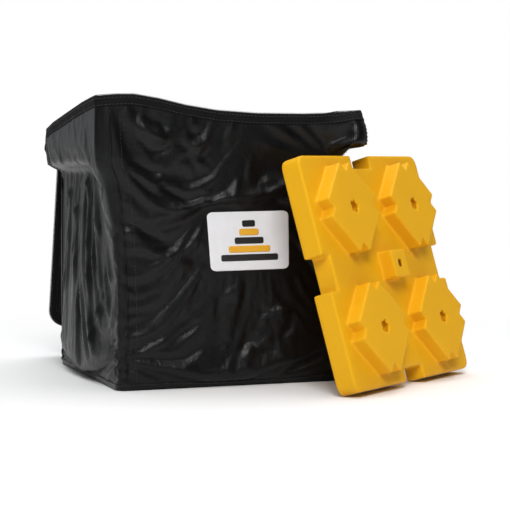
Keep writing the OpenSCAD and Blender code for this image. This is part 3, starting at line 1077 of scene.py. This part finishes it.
def dress_corners(wall, cloth, cord):
    """The seams up the bag's corners, and the hem round its foot."""
    outs = wall_outs(wall)
    lines, made = [], []
    for place in SEAMS:
        c = int(round(place * COLUMNS / 4)) % COLUMNS
        beside = (c + 3) % COLUMNS
        lines.append(wall[2:-4, c] + outs[2:-4, c] * WALL * 0.6)
        made += stitches(wall[2:-4, beside] + outs[2:-4, beside] * WALL * 0.5, outs[2:-4, beside])
    finish_bag_piece(strands("corner_piping", lines, PIPING_R, cloth, sides=8))
    around = np.append(np.arange(COLUMNS), 0)
    hem = np.zeros((len(HEM_LEVELS), len(around), 3))
    for j, c in enumerate(around):
        run = run_of(wall[:, c])
        levels = np.array(HEM_LEVELS) * MM
        hem[:, j] = pick(wall[:, c], run, levels) + pick(outs[:, c], run, levels) * ON_WALL
    ribbon("foot_hem", hem, 0.6 * MM, cloth, "bag")
    made += stitches(hem[3] + outs[2][around] * 0.3 * MM, outs[2][around])
    finish_bag_piece(strands("seam_stitching", made, 0.2 * MM, cord))


def make_bottom(wall, cloth):
    """The bag's bottom panel, a little uneven."""
    ring = np.append(wall[0], wall[0][:1], axis=0)
    scales = np.append(np.linspace(0.02, 0.96, 26), 0.995)
    points = np.array([ring * (scale, scale, 0) for scale in scales])
    wave = np.sin(points[..., 0] * 90) * np.sin(points[..., 1] * 70 + 1) + np.sin(points[..., 0] * 41 + 2)
    points[..., 2] = CLOTH / 2 + 0.1 * MM * wave
    ribbon("bag_bottom", points[:, ::-1], 0.8 * MM, cloth, "bag", ["bottom_panel"])


def front_of(piece, x, z):
    """Where a line of sight from the front meets a piece."""
    hit, spot, _, _ = piece.ray_cast(Vector((x, -2 * HALF_D, z)), Vector((0, 1, 0)))
    return spot.y if hit else -HALF_D


def label_sheet(name, wall_y, low, high, lift, material, rounding, stands_for=()):
    """A printed rectangle of the label; low and high are shares of its width and height."""
    nx, nz = max(int(90 * (high[0] - low[0])), 2), max(int(62 * (high[1] - low[1])), 2)
    spots = np.zeros((nz + 1, nx + 1, 3))
    width = (high[0] - low[0]) * LABEL_SIZE[0]
    tall = (high[1] - low[1]) * LABEL_SIZE[1]
    for r in range(nz + 1):
        q = r / nz
        near = min(q, 1 - q) * tall
        inset = rounding - math.sqrt(max(rounding ** 2 - max(rounding - near, 0) ** 2, 0))
        for c in range(nx + 1):
            p = (inset + c / nx * (width - 2 * inset)) / width
            x, z = label_spot(low[0] + p * (high[0] - low[0]), low[1] + q * (high[1] - low[1]))
            spots[r, c] = (x, wall_y(x, z) - lift, z)
    ribbon(name, spots, 0.25 * MM, material, "bag", stands_for)


def label_spot(p, q):
    """Place across and up the label, in x and z."""
    low = (1 - p) * LABEL_CORNERS[0] + p * LABEL_CORNERS[1]
    high = (1 - p) * LABEL_CORNERS[3] + p * LABEL_CORNERS[2]
    return (1 - q) * low + q * high


def make_label(shell, white, black, amber):
    """The label on the front: a plain drawing of stacked blocks."""
    n, m = 41, 29
    depth = np.zeros((m, n))
    for r in range(m):
        for c in range(n):
            depth[r, c] = front_of(shell, *label_spot(c / (n - 1), r / (m - 1)))
    for _ in range(6):
        padded = np.pad(depth, 1, mode="edge")
        even = (padded[:-2, 1:-1] + padded[2:, 1:-1] + padded[1:-1, :-2] + padded[1:-1, 2:]) / 4
        depth = np.minimum(depth, even)
    center = label_spot(0.5, 0.5)

    def wall_y(x, z):
        p = np.clip((x - center[0]) / LABEL_SIZE[0] + 0.5, 0, 1) * (n - 1)
        q = np.clip((z - center[1]) / LABEL_SIZE[1] + 0.5, 0, 1) * (m - 1)
        i, j = min(int(p), n - 2), min(int(q), m - 2)
        fp, fq = p - i, q - j
        return ((1 - fq) * ((1 - fp) * depth[j, i] + fp * depth[j, i + 1])
                + fq * ((1 - fp) * depth[j + 1, i] + fp * depth[j + 1, i + 1]))

    label_sheet("label_base", wall_y, (0, 0), (1, 1), 0.35 * MM, white, LABEL_ROUND, ["label_patch"])
    for k, (left, right) in enumerate(LABEL_BARS):
        low = LABEL_FOOT + k * LABEL_STEP
        label_sheet(f"label_bar_{k + 1}", wall_y, (left, low), (right, low + LABEL_BAR), 0.55 * MM,
                    amber if k % 2 else black, 1.2 * MM)


# ---- lid, as it hangs open behind the bag ----

LID_HANG = math.radians(15.5)
LID_WAY = np.array((0, math.sin(LID_HANG), -math.cos(LID_HANG)))
LID_OUT = np.array((0, -math.cos(LID_HANG), -math.sin(LID_HANG)))
LID_LENGTH = 224.3 * MM
LID_R = 20 * MM
LID_CLOTH = 1.2 * MM
LID_HEM = 1.4 * MM
LID_TAPE_INSETS = (1.1, 3, 5, 7, 9, 10)
# Each line of stitches round the lid, by its inset and its height over the middle plane.
LID_SEAMS = ((8.6 * MM, 1.15 * MM), (2.6 * MM, 1.15 * MM), (8.6 * MM, -0.65 * MM))
LID_FOLDS = 46

STRAP_W = 30 * MM
STRAP_T = 1.9 * MM
STRAP_RAMP = 76 * MM
STRAP_FLAT = 52 * MM
STRAP_LIE = 1.9 * MM
STRAP_ARCH = 17.4 * MM
STRAP_SEWN_FROM = 80 * MM
STRAP_SEAM_INSET = 2.5 * MM


def lid_spots(x, s, h):
    """Points on the lid, from places across it, down it from the hinge, and out from its middle plane."""
    x, s, h = np.broadcast_arrays(x, s, h)
    spots = np.array(HINGE) + s[..., None] * LID_WAY + h[..., None] * LID_OUT
    spots[..., 0] = x
    return spots


def lid_edge(inset):
    """Places (across, down) along the lid's free edges, a little in from them, left to right."""
    half, end, r = HALF_W - inset, LID_LENGTH - inset, LID_R - inset
    straight = np.linspace(TAPE_W, end - r, 110)
    turn = np.linspace(math.pi, math.pi / 2, 16)[1:]
    x = np.concatenate([np.full(110, -half), -half + r + r * np.cos(turn)])
    s = np.concatenate([straight, end - r + r * np.sin(turn)])
    across = np.linspace(-half + r, half - r, 100)[1:-1]
    return (np.concatenate([x, across, -x[::-1]]),
            np.concatenate([s, np.full(len(across), end), s[::-1]]))


def lid_height(x, s):
    """How far the slack lid stands out from its plane; 0 along its zip."""
    am, sm = x / MM, s / MM
    out = np.zeros_like(am)
    rng = np.random.default_rng(77)
    for _ in range(LID_FOLDS):
        middle = rng.uniform((-104, 12), (104, 214))
        angle = rng.uniform(0, math.pi)
        half = rng.uniform(14, 46)
        reach = half * np.array([math.cos(angle), math.sin(angle)])
        out += rng.uniform(0.25, 0.8) * streak(am, sm, middle - reach, middle + reach, rng.uniform(2.5, 6))
    edge = (1 - step(np.abs(am), 88, 100)) * step(sm, 4, 16) * (1 - step(sm, 200, 213))
    crown = 1.6 * np.cos(am / 112 * math.pi / 2) * np.sin(np.clip(sm / 224, 0, 1) * math.pi)
    return (out + crown) * edge * MM


def make_lid_sheet(cloth, inner):
    """The lid's cloth, with its free corners rounded."""
    half, end, r = HALF_W - LID_HEM, LID_LENGTH - LID_HEM, LID_R - LID_HEM
    turn = np.linspace(0, math.pi / 2, 16)[1:]
    s = np.concatenate([np.linspace(LID_CLOTH, end - r, 90), end - r + r * np.sin(turn)])
    over = np.clip(s - (end - r), 0, r)
    wide = half - r + np.sqrt(r ** 2 - over ** 2)
    x = np.linspace(-1, 1, 111)[None, :] * wide[:, None]
    s = np.broadcast_to(s[:, None], x.shape)
    mesh = grid_mesh("lid_sheet", lid_spots(x, s, lid_height(x, s)), uv=np.stack([x, s], axis=-1))
    piece = add("lid_sheet", mesh, "lid", cloth, ["lid_panel"])
    piece.data.materials.append(inner)
    thicken(piece, LID_CLOTH, 1)


def make_lid(cloth, inner, tape, wire, cord):
    """The lid's sheet, and the zip's other half round its free edges."""
    make_lid_sheet(cloth, inner)
    rows = [lid_spots(*lid_edge(inset), 0.85 * MM) for inset in np.array(LID_TAPE_INSETS) * MM]
    ribbon("lid_zip_tape", np.array(rows), 0.5 * MM, tape, "lid", ["zip_tape_lid"])
    line = lid_spots(*lid_edge(1.05 * MM), 0)
    outs = np.broadcast_to(LID_OUT, line.shape)
    coil("lid_zip_coil", line, outs, wire, "lid", "zip_teeth", ["zip_teeth_lid"])
    made = []
    for inset, height in LID_SEAMS:
        line = lid_spots(*lid_edge(inset), height)
        made += stitches(line, np.broadcast_to(LID_OUT * math.copysign(1, height), line.shape))
    strands("lid_stitching", made, 0.22 * MM, cord, "lid", "zip_tape")


def make_handle(web, cord):
    """The webbing handle across the lid, arched between two boxes of stitching."""
    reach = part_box("handle_strap")[1].x
    mid_s = LID_LENGTH / 2
    x = np.linspace(-reach, reach, 131)
    across = np.linspace(-1, 1, 13)
    s = mid_s + across * STRAP_W / 2
    rise = 1 - step(np.abs(x), STRAP_FLAT, STRAP_RAMP)
    h = STRAP_LIE + (STRAP_ARCH - STRAP_LIE) * rise - 0.8 * MM * bell(x, 0, 30 * MM)
    curl = -0.35 * MM * np.abs(across) ** 3
    points = lid_spots(x[None, :], s[:, None], h[None, :] + curl[:, None] * rise[None, :])
    ribbon("handle_webbing", points, STRAP_T, web, "lid", ["handle_strap"])
    made = []
    side = STRAP_W / 2 - STRAP_SEAM_INSET
    t = np.linspace(0, 1, 30)
    for sign in (-1, 1):
        a, b = sign * STRAP_SEWN_FROM, sign * (reach - STRAP_SEAM_INSET)
        corners = ((a, -side), (b, -side), (b, side), (a, side))
        for start, stop in ((0, 1), (1, 2), (2, 3), (3, 0), (0, 2), (3, 1)):
            (x0, s0), (x1, s1) = corners[start], corners[stop]
            line = lid_spots(x0 + t * (x1 - x0), mid_s + s0 + t * (s1 - s0), STRAP_LIE + 1.05 * MM)
            made += stitches(line, np.broadcast_to(LID_OUT, line.shape))
    strands("handle_stitching", made, 0.25 * MM, cord, "lid", "webbing")


def make_hinge(tape):
    """The strip that joins the lid to the bag's back: it follows the bag, then folds over onto the lid."""
    low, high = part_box("hinge_binding")
    y_bag = HALF_D + 0.5 * MM
    bag_side = [(y_bag, HINGE.z - drop) for drop in np.linspace(12, 1.4, 9) * MM]
    fold = [(y_bag + 0.15 * MM, HINGE.z - 0.5 * MM), (y_bag + 0.45 * MM, HINGE.z - 0.05 * MM),
            (y_bag + 0.8 * MM, HINGE.z - 0.25 * MM), (y_bag + 1.0 * MM, HINGE.z - 0.9 * MM)]
    lid_side = [tuple(spot[1:]) for spot in lid_spots(0, np.linspace(1.8, 10, 7) * MM, 0.95 * MM)]
    x = np.linspace(low.x, high.x, 90)
    profile = np.array(bag_side + fold + lid_side)
    points = np.zeros((len(profile), len(x), 3))
    points[..., 0] = x
    points[..., 1:] = profile[:, None]
    piece = ribbon("hinge_strip", points, 0.5 * MM, tape)
    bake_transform(piece)
    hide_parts("hinge_binding")


def make_metal(metal):
    """The slider, its pull and the end stops, cast with soft edges."""
    for node, body in (("zip_slider", "slider"), ("zip_pull", "pull"),
                       ("zip_stop_left", "bag"), ("zip_stop_right", "bag")):
        piece = softened(node + "_cast", [node], METAL_CELL, METAL_PASSES, METAL_KEPT)
        finish(piece, body, metal, [node])


make_camera()
make_world()
make_stage()
for light in LIGHTS:
    area_light(*light)
SCENE.view_settings.view_transform = "Standard"
make_blocks(block_plastic())
cloth, inner, tape, wire, cord = nylon(), lining(), tape_cloth(), coil_plastic(), thread()
shell, wall_points, wall_u = make_shell()
dress_shell(shell, cloth, inner)
make_bottom(wall_points, cloth)
dress_rim(wall_points, wall_u, tape, wire, cord)
dress_corners(wall_points, cloth, cord)
make_label(shell, vinyl("label_white", (0.80, 0.80, 0.82)), vinyl("label_black", (0.012, 0.012, 0.012)),
           vinyl("label_amber", (0.80, 0.40, 0.02)))
make_lid(cloth, inner, tape, wire, cord)
make_handle(webbing(), cord)
make_hinge(tape)
make_metal(enamel())
